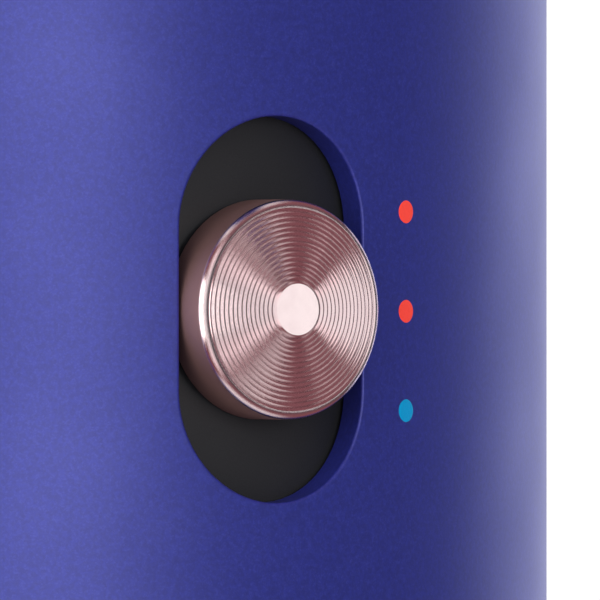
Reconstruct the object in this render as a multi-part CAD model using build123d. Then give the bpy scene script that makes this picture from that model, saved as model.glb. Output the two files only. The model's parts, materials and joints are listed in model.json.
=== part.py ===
"""Travel hair dryer with a cylindrical handle, two thumb sliders and a folding barrel.

Frame: +Z is up along the handle, the origin is the centre of the handle's base, the controls face -Y and
the air leaves along +Y. Everything is in millimetres. The folding hinge turns about X.
"""

from build123d import *
import os

# ---- Driving dimensions -------------------------------------------------------------------------
# Handle
HANDLE_R = 21.0
SLEEVE_WALL = 1.0
SLEEVE_BOTTOM = 6.0
SLEEVE_TOP = 96.0
TRIM_TOP = 98.0
CHASSIS_R = 19.8
CHASSIS_INNER_R = 18.2
CHASSIS_BOTTOM = 12.0
CHASSIS_TOP = 95.0
SLEEVE_INNER_R = HANDLE_R - SLEEVE_WALL

# Cord gland in the base
GLAND_R = 5.5
CORD_BORE_R = 3.6
GLAND_TOP = 12.5

# Two screws hold the base to the chassis, and two the cord clamp to the base
BASE_SCREW_Y = 14.6
BOSS_R = 2.8
CLAMP_SCREW_X = 8.0
CLAMP_SCREW_Z = 17.0
CLAMP_GRIP_R = 3.8

# Thumb sliders: a round metal cap in a stadium slot, over a curved shutter
HEAT_Z = 48.0
AIRFLOW_Z = 76.0
SLOT_WIDTH = 7.2
SLOT_LENGTH = 12.3
SLIDER_TRAVEL = 5.0
KNOB_R = 3.5
KNOB_RIM_Y = 21.7
KNOB_BACK_Y = 19.95
KNOB_CROWN = 0.43
KNOB_PIP_R = 0.85
KNOB_RINGS = 15
SHUTTER_R = 19.85
SHUTTER_INNER_R = 19.05
STEM_X = 2.4
STEM_Z = 3.0
TRAY_Y = 17.8
TRAY_THICK = 1.2
TRAY_HALF_X = 8.6
TRAY_HALF_Z = 13.2
SWITCH_Y = 14.2
BOARD_Y = 8.8
BOARD_THICK = 1.6
BOARD_HALF_X = 13.0
BOARD_LOW = 33.0
BOARD_HIGH = 90.0

# Voltage selector on the far side of the handle
DIAL_Z = 30.0
DIAL_R = 6.0
DIAL_FLANGE_R = 7.2
DIAL_CLEARANCE = 0.2

# Folding hinge
PIVOT_Z = 119.0
NECK_R = 20.9
HINGE_DISC_R = 18.0
HINGE_GAP = 0.3
TONGUE_HALF = 7.8
EAR_START = 8.6
EAR_WALL_END = 11.6
EAR_CAVITY_R = 7.6
CAP_SEAT_X = 18.0
AXLE_R = 5.0
AXLE_BORE_R = 3.4
AXLE_HALF = 13.5

# Barrel
BARREL_Z = PIVOT_Z + 54.5
BARREL_R = 30.0
BARREL_INNER_R = 28.0
BARREL_REAR = -56.0
BARREL_FRONT = 46.0
NECK_FILLET = 3.0
RING_DEPTH = 4.0
RING_INNER_R = 26.6
SPIGOT_R = 27.9

# Magnets that hold the nozzle's collar to the front ring
MAGNET_COUNT = 4
MAGNET_R = 1.0
MAGNET_CIRCLE = 28.2
MAGNET_FACE_Y = 50.0

# Motor, fan and heater
SHAFT_R = 1.5
CAN_R = 13.3
CAN_REAR = -38.0
CAN_FRONT = -17.0
BEARING_R = 4.0
HUB_R = 9.0
BLADE_COUNT = 9
COIL_R = 19.0
COIL_PITCH = 4.3
WIRE_R = 0.7

# Rear filter and front nozzle
FILTER_R = 29.2
FILTER_REAR = -74.0
COLLAR_FRONT = 58.0
NOZZLE_R = 29.4
NOZZLE_BACK = 54.2
NOZZLE_LOFT = 59.0
NOZZLE_MOUTH = 86.0
NOZZLE_WALL = 1.4
SNAP_R = 27.5
# Each row is a section's distance out, half width and half height.
NOZZLE_SECTIONS = [
    (NOZZLE_LOFT, NOZZLE_R, NOZZLE_R),
    (67.0, 29.2, 24.6),
    (77.0, 28.7, 15.4),
    (NOZZLE_MOUTH, 28.0, 6.4),
]

parts = {}


# ---- Small shape helpers ------------------------------------------------------------------------
def z_cyl(radius, low, high, x=0.0, y=0.0):
    return Pos(x, y, (low + high) / 2) * Cylinder(radius, high - low)


def y_cyl(radius, low, high, x=0.0, z=BARREL_Z):
    return Pos(x, (low + high) / 2, z) * Rot(90, 0, 0) * Cylinder(radius, high - low)


def x_cyl(radius, low, high, y=0.0, z=PIVOT_Z):
    return Pos((low + high) / 2, y, z) * Rot(0, 90, 0) * Cylinder(radius, high - low)


def z_ring(outer, inner, low, high):
    return z_cyl(outer, low, high) - z_cyl(inner, low, high)


def y_ring(outer, inner, low, high, z=BARREL_Z):
    return y_cyl(outer, low, high, z=z) - y_cyl(inner, low, high, z=z)


def x_ring(outer, inner, low, high):
    return x_cyl(outer, low, high) - x_cyl(inner, low, high)


def block(x0, x1, y0, y1, z0, z1):
    centre = Pos((x0 + x1) / 2, (y0 + y1) / 2, (z0 + z1) / 2)
    return centre * Box(abs(x1 - x0), abs(y1 - y0), abs(z1 - z0))


def stadium(width, length, y0, y1, z):
    """A stadium prism along Y, long in Z."""
    plane = Plane(origin=(0, y0, z), x_dir=(1, 0, 0), z_dir=(0, 1, 0))
    return extrude(plane * SlotOverall(length, width, rotation=90), amount=y1 - y0)


def around_barrel(shape, count, start=0.0):
    """Copies of a shape turned about the barrel's axis."""
    turns = [start + 360.0 * i / count for i in range(count)]
    axis = Axis((0, 0, BARREL_Z), (0, 1, 0))
    return [shape.rotate(axis, turn) for turn in turns]


def fused(shapes):
    whole = shapes[0]
    for shape in shapes[1:]:
        whole = whole + shape
    return whole


def cut_all(shape, cutters):
    for cutter in cutters:
        shape -= cutter
    return shape


def hinge_prism(points):
    """A prism along X from points given as (y, z above the pivot)."""
    outline = Polyline(*[(y, z + PIVOT_Z) for y, z in points], close=True)
    sketch = Plane.YZ * make_face(outline)
    return extrude(sketch, amount=30, both=True)


# ---- Handle -------------------------------------------------------------------------------------
def handle_sleeve():
    sleeve = z_ring(HANDLE_R, SLEEVE_INNER_R, SLEEVE_BOTTOM, SLEEVE_TOP)
    for z in (HEAT_Z, AIRFLOW_Z):
        sleeve -= stadium(SLOT_WIDTH, SLOT_LENGTH, -HANDLE_R - 1, -10, z)
    return sleeve - y_cyl(DIAL_R + DIAL_CLEARANCE, 10, HANDLE_R + 1, z=DIAL_Z)


def base_cap():
    foot = z_cyl(HANDLE_R, 0, SLEEVE_BOTTOM)
    foot = fillet(foot.edges().group_by(Axis.Z)[0], 2.5)
    cap = foot + z_cyl(SLEEVE_INNER_R - 0.1, SLEEVE_BOTTOM, CHASSIS_BOTTOM)
    cap -= z_cyl(17.5, 3.0, CHASSIS_BOTTOM)
    cap += z_cyl(8.5, 1.0, 11.0)
    cap += block(-11, 11, 1.0, 6.0, 3.0, 21.0)
    for y in (-BASE_SCREW_Y, BASE_SCREW_Y):
        cap += z_cyl(BOSS_R, 1.0, CHASSIS_BOTTOM, y=y)
        cap -= z_cyl(BOSS_R, -1, 2.0, y=y)
        cap -= z_cyl(1.5, -1, CHASSIS_BOTTOM + 1, y=y)
    cap -= z_cyl(GLAND_R, -1, 11.0)
    cap -= z_cyl(8.0, 11.0, 13.0)
    cap -= z_cyl(CLAMP_GRIP_R, 11.0, 22.0)
    for x in (-CLAMP_SCREW_X, CLAMP_SCREW_X):
        cap -= y_cyl(1.25, 0, 5.5, x=x, z=CLAMP_SCREW_Z)
    return cap


def cord_gland():
    bush = z_cyl(GLAND_R, 0, 11.0) + z_cyl(7.6, 11.0, GLAND_TOP)
    return bush - z_cyl(CORD_BORE_R, -1, GLAND_TOP + 1)


def screw(length, head_r=2.4, shank_r=1.2, head_h=1.4):
    """A pan-head screw on Z, its head above z = 0 and its shank below, with a cross recess."""
    body = Pos(0, 0, head_h / 2) * Cylinder(head_r, head_h)
    body += Pos(0, 0, -length / 2) * Cylinder(shank_r, length)
    for turn in (0, 90):
        body -= Pos(0, 0, head_h) * Rot(0, 0, turn) * Box(head_r * 1.1, 0.5, 1.2)
    return body


def base_screws():
    one = Rot(180, 0, 0) * screw(16.5, head_r=2.6, shank_r=1.4)
    return Compound([Pos(0, y, 1.95) * one for y in (-BASE_SCREW_Y, BASE_SCREW_Y)])


def cord_clamp():
    saddle = block(-11, 11, -6.0, -1.0, 13.0, 20.5)
    saddle -= z_cyl(CLAMP_GRIP_R, 12, 22)
    for x in (-CLAMP_SCREW_X, CLAMP_SCREW_X):
        saddle -= y_cyl(1.3, -7, 0, x=x, z=CLAMP_SCREW_Z)
    return saddle


def clamp_screws():
    one = Rot(90, 0, 0) * screw(11.0)
    return Compound([Pos(x, -6.05, CLAMP_SCREW_Z) * one for x in (-CLAMP_SCREW_X, CLAMP_SCREW_X)])


def chassis(front):
    """The front or the rear half of the inner tube that carries the board, the sliders and the selector."""
    side = -1 if front else 1
    half = z_ring(CHASSIS_R, CHASSIS_INNER_R, CHASSIS_BOTTOM, CHASSIS_TOP)
    half &= block(-25, 25, 0, side * 25, 0, 120)
    half += z_cyl(BOSS_R, CHASSIS_BOTTOM, 20, y=side * BASE_SCREW_Y)
    half += block(-1, 1, side * BASE_SCREW_Y, side * 18.4, CHASSIS_BOTTOM, 20)
    half -= z_cyl(1.5, CHASSIS_BOTTOM - 1, 19, y=side * BASE_SCREW_Y)
    if front:
        for z in (HEAT_Z, AIRFLOW_Z):
            half -= block(-TRAY_HALF_X, TRAY_HALF_X, -25, -10, z - TRAY_HALF_Z, z + TRAY_HALF_Z)
        for x in (-1, 1):
            for z in (40, 80):
                half += block(x * 12.4, x * 15.6, -10, -6, z, z + 4)
        gap = BOARD_HALF_X + 0.05
        half -= block(-gap, gap, -BOARD_Y - 0.05, BOARD_THICK - BOARD_Y + 0.05, BOARD_LOW, BOARD_HIGH)
    else:
        half += y_ring(9.5, 7.5, 16.4, 18.4, z=DIAL_Z) & z_cyl(CHASSIS_R, 0, 60)
        half -= y_cyl(7.5, 10, 25, z=DIAL_Z)
    return half


def slider_tray(z):
    tray = block(-TRAY_HALF_X, TRAY_HALF_X, -TRAY_Y, TRAY_THICK - TRAY_Y, z - TRAY_HALF_Z, z + TRAY_HALF_Z)
    tray &= z_cyl(SLEEVE_INNER_R - 0.05, z - 20, z + 20)
    guide = SLIDER_TRAVEL / 2 + STEM_Z / 2 + 0.3
    return tray - block(-1.5, 1.5, -20, -10, z - guide, z + guide)


def slide_switch(z):
    body = block(-3.6, 3.6, -SWITCH_Y, -BOARD_Y, z - 8.5, z + 8.5)
    body -= block(-0.9, 0.9, -SWITCH_Y - 1, -11.0, z - 3.6, z + 3.6)
    return body


def slider_knob(z):
    """The metal cap: a domed face with turned rings between a rolled rim and a flat centre pip."""
    rim = 0.22
    edge = 0.1
    groove = 0.05
    fit = 0.02
    step = (KNOB_R - rim - KNOB_PIP_R) / KNOB_RINGS

    def crown(radius):
        return KNOB_RIM_Y + KNOB_CROWN * (1 - (radius / KNOB_R) ** 2)

    outline = [(0, KNOB_BACK_Y), (KNOB_R, KNOB_BACK_Y)]
    outline += [(KNOB_R, KNOB_RIM_Y - edge), (KNOB_R - edge, KNOB_RIM_Y)]
    for i in range(KNOB_RINGS):
        outer = KNOB_R - rim - i * step
        outline.append((outer, crown(outer)))
        outline.append((outer - step / 2, crown(outer) - groove))
    outline.append((KNOB_PIP_R, crown(KNOB_PIP_R)))
    outline.append((0, crown(KNOB_PIP_R)))
    face = Plane.XZ * make_face(Polyline(*outline, close=True))
    cap = Rot(90, 0, 0) * revolve(face, Axis.Z)
    socket_x = STEM_X / 2 + fit
    socket_z = STEM_Z / 2 + fit
    return Pos(0, 0, z) * (cap - block(-socket_x, socket_x, -21.25, -19, -socket_z, socket_z))


def slider_carriage(z):
    half_length = SLOT_LENGTH / 2 + SLIDER_TRAVEL / 2 + 1.6
    shutter = z_ring(SHUTTER_R, SHUTTER_INNER_R, -half_length, half_length)
    shutter &= block(-5.6, 5.6, -25, -10, -20, 20)
    shutter += block(-STEM_X / 2, STEM_X / 2, -21.2, -14.6, -STEM_Z / 2, STEM_Z / 2)
    shutter -= block(-0.75, 0.75, -15.8, -14, -0.75, 0.75)
    return Pos(0, 0, z) * shutter


def switch_lever(z):
    return block(-0.7, 0.7, -15.7, -11.4, z - 0.7, z + 0.7)


def control_board():
    board = block(-BOARD_HALF_X, BOARD_HALF_X, -BOARD_Y, BOARD_THICK - BOARD_Y, BOARD_LOW, BOARD_HIGH)
    for x in (-10.5, 10.5):
        for z in (36, 87):
            board -= y_cyl(1.3, -10, -5, x=x, z=z)
    return board


def board_components():
    back = BOARD_THICK - BOARD_Y
    pieces = [block(5, 11.5, back, back + 4.5, 40, 50), block(5, 10, back, back + 3.0, 66, 78)]
    pieces += [y_cyl(3.2, back, back + 8, x=-8.5, z=z) for z in (44, 54)]
    pieces += [block(-11, -6, back, back + 1.6, z, z + 2.6) for z in (62, 67, 72, 77)]
    pieces += [y_cyl(2.4, back, back + 6, x=8.0, z=58)]
    return Compound(pieces)


def terminal_block():
    body = block(-8, 8, -4, 6, 21, 29)
    for x in (-5, 0, 5):
        body -= z_cyl(1.6, 20, 24.5, x=x, y=-1.6)
        body -= y_cyl(1.3, -5, -0.6, x=x, z=26.2)
    return body


def voltage_switch():
    body = block(-7, 7, 9.0, 16.4, DIAL_Z - 7, DIAL_Z + 7)
    return body - y_cyl(2.6, 10.5, 17, z=DIAL_Z)


def voltage_dial():
    dial = y_cyl(DIAL_R, 18.2, 20.1, z=DIAL_Z) + y_cyl(DIAL_FLANGE_R, 16.9, 18.2, z=DIAL_Z)
    dial += y_cyl(2.5, 11.0, 17.0, z=DIAL_Z)
    return dial - block(-4.4, 4.4, 19.0, 22, DIAL_Z - 0.8, DIAL_Z + 0.8)


def loom(points, radii, radius):
    """A round cable bundle along straight runs joined by tangent arcs."""
    path = FilletPolyline(*points, radius=radii)
    start = Plane(origin=path @ 0, z_dir=path % 0)
    return sweep(start * Circle(radius), path)


def handle_trim_ring():
    return z_ring(HANDLE_R, CHASSIS_INNER_R - 0.1, SLEEVE_TOP, TRIM_TOP)


def hinge_knuckle():
    """The handle's half of the hinge: a shoulder that fits under the ears, and the tongue between them."""
    lower = hinge_prism([(-25, -0.2), (0, -0.2), (26, -26.2), (26, -60), (-25, -60)])
    shoulder = z_cyl(NECK_R, TRIM_TOP, PIVOT_Z) & lower
    shoulder -= x_cyl(HINGE_DISC_R + HINGE_GAP, -30, 30)
    tongue = x_cyl(HINGE_DISC_R, -TONGUE_HALF, TONGUE_HALF)
    root = block(-TONGUE_HALF, TONGUE_HALF, -12, 12, TRIM_TOP, TRIM_TOP + 8)
    knuckle = shoulder + tongue + root
    knuckle += z_cyl(CHASSIS_INNER_R - 0.2, 90.0, TRIM_TOP)
    knuckle -= z_cyl(CHASSIS_INNER_R - 2.2, 89.0, TRIM_TOP - 2.0)
    knuckle -= z_cyl(3.0, 89, PIVOT_Z)
    return knuckle - x_cyl(AXLE_R + 0.02, -30, 30)


def hinge_axle():
    axle = x_ring(AXLE_R, AXLE_BORE_R, -AXLE_HALF, AXLE_HALF)
    axle -= block(-3.4, 7.0, -2.6, 2.6, PIVOT_Z - 6, PIVOT_Z)
    for side in (-1, 1):
        axle -= x_ring(AXLE_R + 1, 4.5, *sorted((side * 11.75, side * 12.65)))
    return axle


def axle_clips():
    clips = []
    for side in (-1, 1):
        clip = x_ring(7.0, 4.52, *sorted((side * 11.8, side * 12.6)))
        clips.append(clip - block(side * 11, side * 13, -2.0, 2.0, PIVOT_Z - 8, PIVOT_Z))
    return Compound(clips)


# ---- Barrel housing -----------------------------------------------------------------------------
def barrel_housing():
    """The whole barrel and neck, before it is split into its left and right shells."""
    body = y_cyl(BARREL_R, BARREL_REAR, BARREL_FRONT) + z_cyl(NECK_R, PIVOT_Z, BARREL_Z)
    joins = [edge for edge in body.edges() if edge.geom_type != GeomType.LINE]
    joins = [edge for edge in joins if PIVOT_Z + 5 < edge.center().Z < BARREL_Z - 1]
    body = fillet([edge for edge in joins if abs(edge.center().Y) < NECK_R + 1], NECK_FILLET)
    body -= hinge_prism([(-40, 0.2), (0, 0.2), (22, 22.2), (40, 22.2), (40, -40), (-40, -40)])
    body += x_cyl(HINGE_DISC_R, -NECK_R, NECK_R) & z_cyl(NECK_R, PIVOT_Z - 30, PIVOT_Z + 30)
    body -= x_cyl(HINGE_DISC_R + HINGE_GAP, -EAR_START, EAR_START)
    body -= y_cyl(BARREL_INNER_R, BARREL_REAR - 1, BARREL_FRONT + 1)
    body -= z_cyl(17.5, 139.8, 160)
    body -= x_cyl(AXLE_R + 0.06, -30, 30)
    for side in (-1, 1):
        body -= x_cyl(EAR_CAVITY_R, *sorted((side * EAR_WALL_END, side * 30)))
        body -= x_cyl(8.0, *sorted((side * CAP_SEAT_X, side * 30)))
    body -= z_cyl(1.9, PIVOT_Z, 141, x=15.5)
    return body


def hinge_cap(side):
    cap = x_cyl(7.9, CAP_SEAT_X, 25) & z_cyl(NECK_R + 0.25, PIVOT_Z - 10, PIVOT_Z + 10)
    cap += x_cyl(7.5, 15.5, CAP_SEAT_X) - x_cyl(6.6, 15.4, CAP_SEAT_X)
    cap -= block(15, 17.6, -3, 3, PIVOT_Z, PIVOT_Z + 9)
    return cap if side > 0 else mirror(cap, Plane.YZ)


def hinge_washers():
    return Compound([x_ring(10.0, 5.2, *sorted((s * 7.9, s * 8.5))) for s in (-1, 1)])


def head_connector():
    body = block(-6, 6, -5, 5, 139.8, 144.4)
    for y in (-2.5, 2.5):
        body -= block(-7, -3, y - 1.2, y + 1.2, 141.2, 143.4)
    return body


def magnet_holes(low, high):
    return around_barrel(y_cyl(MAGNET_R + 0.05, low, high, z=BARREL_Z + MAGNET_CIRCLE), MAGNET_COUNT)


def magnets(low, high):
    return Compound(around_barrel(y_cyl(MAGNET_R, low, high, z=BARREL_Z + MAGNET_CIRCLE), MAGNET_COUNT))


def front_ring():
    ring = y_ring(BARREL_R, RING_INNER_R, BARREL_FRONT, BARREL_FRONT + RING_DEPTH)
    ring = chamfer(ring.edges().group_by(Axis.Y)[-1].sort_by(SortBy.LENGTH)[-1], 0.6)
    ring += y_ring(SPIGOT_R, RING_INNER_R + 0.1, BARREL_FRONT - 8, BARREL_FRONT)
    return cut_all(ring, magnet_holes(47.9, 51))


def rear_ring():
    low = BARREL_REAR - RING_DEPTH
    ring = y_ring(BARREL_R, RING_INNER_R, low, BARREL_REAR)
    ring = chamfer(ring.edges().group_by(Axis.Y)[0].sort_by(SortBy.LENGTH)[-1], 0.6)
    return ring + y_ring(SPIGOT_R, RING_INNER_R + 0.1, BARREL_REAR, BARREL_REAR + 2.8)


def intake_guard():
    low, high = -57.0, -55.2
    guard = y_ring(26.5, 25.3, low, high) + y_ring(18.0, 16.8, low, high) + y_cyl(7.0, low, high)
    spoke = block(-0.8, 0.8, low, high, BARREL_Z + 5, BARREL_Z + 26.0)
    return fused([guard] + around_barrel(spoke, 8))


def outlet_grille():
    low, high = 41.0, 43.5
    grille = y_ring(26.5, 24.9, low, high) + y_cyl(4.5, low, high)
    for r in (20.5, 15.5, 10.5):
        grille += y_ring(r, r - 1.4, low, high)
    spoke = block(-0.8, 0.8, low, high, BARREL_Z + 3, BARREL_Z + 25.5)
    return fused([grille] + around_barrel(spoke, 6))


# ---- Fan and motor ------------------------------------------------------------------------------
def motor_mount():
    mount = y_ring(SPIGOT_R, 26.0, -53.0, -14.0) + y_ring(14.8, CAN_R + 0.1, CAN_REAR, -16.0)
    vane = block(-0.7, 0.7, CAN_REAR, -18.0, BARREL_Z + 14.2, BARREL_Z + 26.5)
    return fused([mount] + around_barrel(vane, 7))


def motor_can():
    can = y_cyl(CAN_R, CAN_REAR, CAN_FRONT) - y_cyl(12.2, -36.6, -16.0)
    return can - y_cyl(BEARING_R + 0.05, -39.0, -36.0)


def motor_endbell():
    bell = y_cyl(CAN_R, CAN_FRONT, -14.5) - y_cyl(BEARING_R + 0.05, -17.5, -14.0)
    for x in (-8.5, 8.5):
        bell -= y_cyl(1.2, -18, -14, x=x)
    return bell


def motor_magnets():
    ring = y_ring(12.15, 9.6, -34.5, -19.5)
    gap = block(-2.5, 2.5, -35, -19, BARREL_Z - 14, BARREL_Z + 14)
    return ring - gap


def motor_bearings():
    return Compound([y_ring(BEARING_R, SHAFT_R + 0.05, low, low + 2.4) for low in (CAN_REAR, CAN_FRONT)])


def motor_shaft():
    return y_cyl(SHAFT_R, -46.5, -13.2)


def motor_rotor():
    core = y_cyl(9.1, -34.0, -20.0) - y_cyl(SHAFT_R, -35.0, -19.0)
    slot = block(-0.9, 0.9, -35, -19, BARREL_Z + 4.5, BARREL_Z + 9.5)
    core = cut_all(core, around_barrel(slot, 5))
    commutator = y_cyl(3.4, -19.9, -17.8) - y_cyl(SHAFT_R, -21.0, -17.0)
    return core + commutator + (y_cyl(2.6, -20.1, -19.8) - y_cyl(SHAFT_R, -21.0, -17.0))


def motor_brushes():
    low, high = BARREL_Z - 1.2, BARREL_Z + 1.2
    return Compound([block(side * 3.5, side * 7.5, -19.6, -17.0, low, high) for side in (-1, 1)])


def fan_impeller():
    hub = y_cyl(HUB_R, -51.0, -41.5)
    hub = fillet(hub.edges().group_by(Axis.Y)[0], 3.5)
    hub -= y_cyl(7.4, -48.5, -41.0)
    hub += y_cyl(3.2, -49.0, -41.5)
    blade = Pos(0, -46.2, BARREL_Z + 16.5) * Rot(0, 0, 52) * Box(1.2, 10.5, 17.2)
    blade &= y_cyl(25.0, -52, -41)
    blade -= y_cyl(8.2, -60, -30)
    fan = fused([hub] + around_barrel(blade, BLADE_COUNT))
    return fan - y_cyl(SHAFT_R, -46.5, -40.0)


# ---- Heater -------------------------------------------------------------------------------------
def heater_frame():
    wide = block(-18.2, 18.2, -8.0, 36.0, BARREL_Z - 0.4, BARREL_Z + 0.4)
    tall = block(-0.4, 0.4, -8.0, 36.0, BARREL_Z - 18.2, BARREL_Z + 18.2)
    return wide + tall


def heater_coil():
    """One resistance wire wound round the edges of the crossed boards."""
    height = 9 * COIL_PITCH
    path = Helix(COIL_PITCH, height, COIL_R, center=(0, 33.5, BARREL_Z), direction=(0, -1, 0))
    start = Plane(origin=path @ 0, z_dir=path % 0)
    return sweep(start * Circle(WIRE_R), path, is_frenet=True)


def mica_tube():
    return y_ring(24.6, 24.0, -10.0, 38.0)


def tube_spacers():
    rings = []
    for low in (-9.0, 32.0):
        holes = around_barrel(y_cyl(1.1, low - 1, low + 4, z=BARREL_Z + 26.3), 12, 15)
        rings.append(cut_all(y_ring(SPIGOT_R, 24.7, low, low + 3), holes))
    return Compound(rings)


def thermostat():
    base = block(6, 14, -4, 6, BARREL_Z + 0.4, BARREL_Z + 1.4)
    return base + block(7, 13, -3, 1, BARREL_Z + 1.4, BARREL_Z + 2.4)


def thermal_fuse():
    body = y_cyl(1.8, 0, 9, x=-10, z=BARREL_Z + 2.6)
    return body + y_cyl(0.5, -4, 13, x=-10, z=BARREL_Z + 2.6)


# ---- Rear filter --------------------------------------------------------------------------------
def filter_cage():
    seat = BARREL_REAR - RING_DEPTH
    cage = y_cyl(FILTER_R, FILTER_REAR, seat - 0.1)
    cage = fillet(cage.edges().group_by(Axis.Y)[0], 4.0)
    inner = y_cyl(FILTER_R - 1.5, FILTER_REAR + 1.5, seat)
    cage -= fillet(inner.edges().group_by(Axis.Y)[0], 2.6)
    cage += y_ring(FILTER_R - 1.4, 25.2, seat - 0.8, seat - 0.1)
    cage += y_ring(26.4, 25.2, seat - 0.5, seat + 2.7)
    side = block(-0.9, 0.9, -69.0, -62.5, BARREL_Z + 20, BARREL_Z + 35)
    cage = cut_all(cage, around_barrel(side, 40))
    for radius, count in ((6.0, 6), (11.0, 12), (16.0, 18), (21.0, 24)):
        hole = y_cyl(1.3, -80, -70, z=BARREL_Z + radius)
        cage = cut_all(cage, around_barrel(hole, count))
    return cage


def filter_mesh():
    return y_cyl(FILTER_R - 1.8, -61.8, -61.1)


# ---- Nozzle -------------------------------------------------------------------------------------
def nozzle_collar():
    collar = y_ring(29.6, 25.0, 50.2, 54.0) + y_ring(27.0, 25.0, 54.0, COLLAR_FRONT)
    collar += y_ring(26.4, 25.0, 46.6, 50.2)
    collar += y_ring(SNAP_R, 25.0, 55.6, 57.0)
    return cut_all(collar, magnet_holes(50, 52.3))


def nozzle_bell(inset):
    """Ellipses from the round back to the flat mouth, each smaller than the outer face by the inset."""
    sections = []
    for y, half_x, half_z in NOZZLE_SECTIONS:
        plane = Plane(origin=(0, y, BARREL_Z), x_dir=(1, 0, 0), z_dir=(0, 1, 0))
        sections.append(plane * Ellipse(half_x - inset, half_z - inset))
    return loft(sections)


def nozzle_shell():
    back = y_ring(NOZZLE_R, 27.15, NOZZLE_BACK, NOZZLE_LOFT)
    back -= y_ring(SNAP_R + 0.15, 27.0, 55.4, 57.2)
    return back + (nozzle_bell(0.0) - nozzle_bell(NOZZLE_WALL))


# ---- Build every node ---------------------------------------------------------------------------
parts["handle_sleeve"] = handle_sleeve()
parts["base_cap"] = base_cap()
parts["cord_gland"] = cord_gland()
parts["base_screws"] = base_screws()
parts["cord_clamp"] = cord_clamp()
parts["clamp_screws"] = clamp_screws()
parts["chassis_front"] = chassis(True)
parts["chassis_rear"] = chassis(False)
parts["control_board"] = control_board()
parts["board_components"] = board_components()
parts["terminal_block"] = terminal_block()
parts["voltage_switch"] = voltage_switch()
parts["voltage_dial"] = voltage_dial()
parts["handle_trim_ring"] = handle_trim_ring()
parts["hinge_knuckle"] = hinge_knuckle()
parts["hinge_axle"] = hinge_axle()
parts["axle_clips"] = axle_clips()

# The heat slider rests at its middle stop, and the airflow slider at its lowest, off.
for name, slot_z, rest in (("heat", HEAT_Z, 0.0), ("airflow", AIRFLOW_Z, -SLIDER_TRAVEL / 2)):
    parts[name + "_tray"] = slider_tray(slot_z)
    parts[name + "_switch"] = slide_switch(slot_z)
    parts[name + "_knob"] = slider_knob(slot_z + rest)
    parts[name + "_carriage"] = slider_carriage(slot_z + rest)
    parts[name + "_switch_lever"] = switch_lever(slot_z + rest)

handle_route = [(0, 1, 29), (0, 1, 60), (0, 0, 92), (0, 0, PIVOT_Z), (AXLE_HALF, 0, PIVOT_Z)]
parts["handle_loom"] = loom(handle_route, [60, 60, 4.0], 1.6)
head_route = [(AXLE_HALF, 0, PIVOT_Z), (15.5, 0, PIVOT_Z), (15.5, 0, 142.3), (6, 0, 142.3)]
parts["head_loom"] = loom(head_route, [1.9, 3.0], 1.6)

housing = barrel_housing()
parts["housing_left"] = housing & block(-100, 0, -200, 200, 0, 300)
parts["housing_right"] = housing & block(0, 100, -200, 200, 0, 300)
parts["hinge_cap_left"] = hinge_cap(-1)
parts["hinge_cap_right"] = hinge_cap(1)
parts["hinge_washers"] = hinge_washers()
parts["head_connector"] = head_connector()
parts["front_ring"] = front_ring()
parts["ring_magnets"] = magnets(MAGNET_FACE_Y - 2.0, MAGNET_FACE_Y)
parts["rear_ring"] = rear_ring()
parts["intake_guard"] = intake_guard()
parts["outlet_grille"] = outlet_grille()

parts["motor_mount"] = motor_mount()
parts["motor_can"] = motor_can()
parts["motor_endbell"] = motor_endbell()
parts["motor_magnets"] = motor_magnets()
parts["motor_bearings"] = motor_bearings()
parts["motor_brushes"] = motor_brushes()
parts["motor_shaft"] = motor_shaft()
parts["motor_rotor"] = motor_rotor()
parts["fan_impeller"] = fan_impeller()

parts["heater_frame"] = heater_frame()
parts["heater_coil"] = heater_coil()
parts["mica_tube"] = mica_tube()
parts["tube_spacers"] = tube_spacers()
parts["thermostat"] = thermostat()
parts["thermal_fuse"] = thermal_fuse()

parts["filter_cage"] = filter_cage()
parts["filter_mesh"] = filter_mesh()
parts["nozzle_collar"] = nozzle_collar()
parts["collar_magnets"] = magnets(MAGNET_FACE_Y + 0.2, MAGNET_FACE_Y + 2.2)
parts["nozzle_shell"] = nozzle_shell()

os.makedirs("parts", exist_ok=True)
for node, shape in parts.items():
    export_step(shape, f"parts/{node}.step")
print(len(parts), "nodes written")
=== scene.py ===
"""Looks of a folding travel hair dryer: painted handle, turned slider caps, barrel, filter and nozzle.

Every size is in metres, in the frame of the CAD model: +Z up the handle, -Y the side with the sliders, and
+Y where the air leaves.
"""

import json
from math import asin, cos, pi, radians, sin, sqrt, tan

import bmesh
import bpy
from mathutils import Matrix, Vector


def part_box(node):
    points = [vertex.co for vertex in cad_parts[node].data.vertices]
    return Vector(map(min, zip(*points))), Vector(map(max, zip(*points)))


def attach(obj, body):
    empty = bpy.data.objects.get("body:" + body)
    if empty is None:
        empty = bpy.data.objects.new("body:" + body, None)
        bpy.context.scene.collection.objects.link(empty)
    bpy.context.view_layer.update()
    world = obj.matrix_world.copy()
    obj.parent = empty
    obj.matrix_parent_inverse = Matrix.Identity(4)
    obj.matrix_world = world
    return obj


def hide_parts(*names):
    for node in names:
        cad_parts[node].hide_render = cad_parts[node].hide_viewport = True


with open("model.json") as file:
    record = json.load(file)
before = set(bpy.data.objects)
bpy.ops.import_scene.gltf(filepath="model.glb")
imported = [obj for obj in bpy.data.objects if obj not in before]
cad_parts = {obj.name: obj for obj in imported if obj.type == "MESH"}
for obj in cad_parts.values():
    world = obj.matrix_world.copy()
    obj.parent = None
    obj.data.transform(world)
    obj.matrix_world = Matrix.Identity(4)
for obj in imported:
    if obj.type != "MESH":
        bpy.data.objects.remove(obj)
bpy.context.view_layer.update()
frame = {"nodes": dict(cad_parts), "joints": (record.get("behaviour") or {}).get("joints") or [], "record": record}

MM = 0.001
nodes = frame["nodes"]
joints = {joint["name"]: joint for joint in frame["joints"]}


# ---- Sizes read from the frame ------------------------------------------------------------------
def middle(node):
    low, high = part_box(node)
    return (low + high) / 2


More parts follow.
